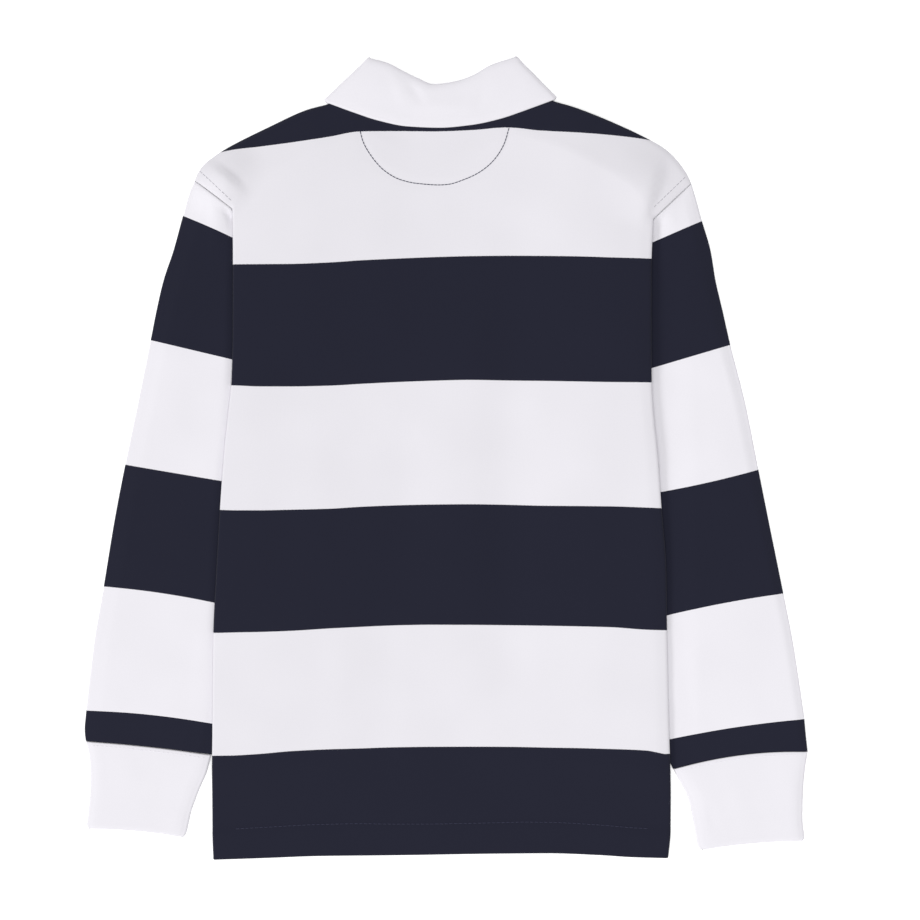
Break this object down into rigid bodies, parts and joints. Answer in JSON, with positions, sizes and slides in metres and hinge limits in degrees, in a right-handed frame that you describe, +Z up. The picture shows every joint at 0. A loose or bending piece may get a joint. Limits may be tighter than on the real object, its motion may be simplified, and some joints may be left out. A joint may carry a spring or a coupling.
{
  "type": "rugby shirt",
  "caption": "Child's long-sleeved rugby shirt in wide navy and white stripes, with white collar and cuffs, laid flat with its back up.",
  "frame": {"origin": "on the surface the shirt lies on, under the middle of the whole laid shirt", "axes": "+X towards the right arm, +Y from the hem to the collar, +Z up from the surface, out of the back of the shirt"},
  "size_m": [0.507, 0.561, 0.0063],
  "materials": {
    "striped_jersey": "matte cotton jersey, wide navy and white stripes knitted in",
    "white_jersey": "matte white cotton jersey, doubled",
    "white_twill": "matte white cotton twill",
    "navy_thread": "navy sewing thread",
    "white_thread": "white sewing thread"
  },
  "bodies": {
    "root": {"front_panel": "striped_jersey", "back_panel": "striped_jersey", "sleeve_left": "striped_jersey", "sleeve_right": "striped_jersey", "cuff_left": "white_jersey", "cuff_right": "white_jersey", "collar": "white_twill", "placket": "white_twill"}
  },
  "joints": []
}
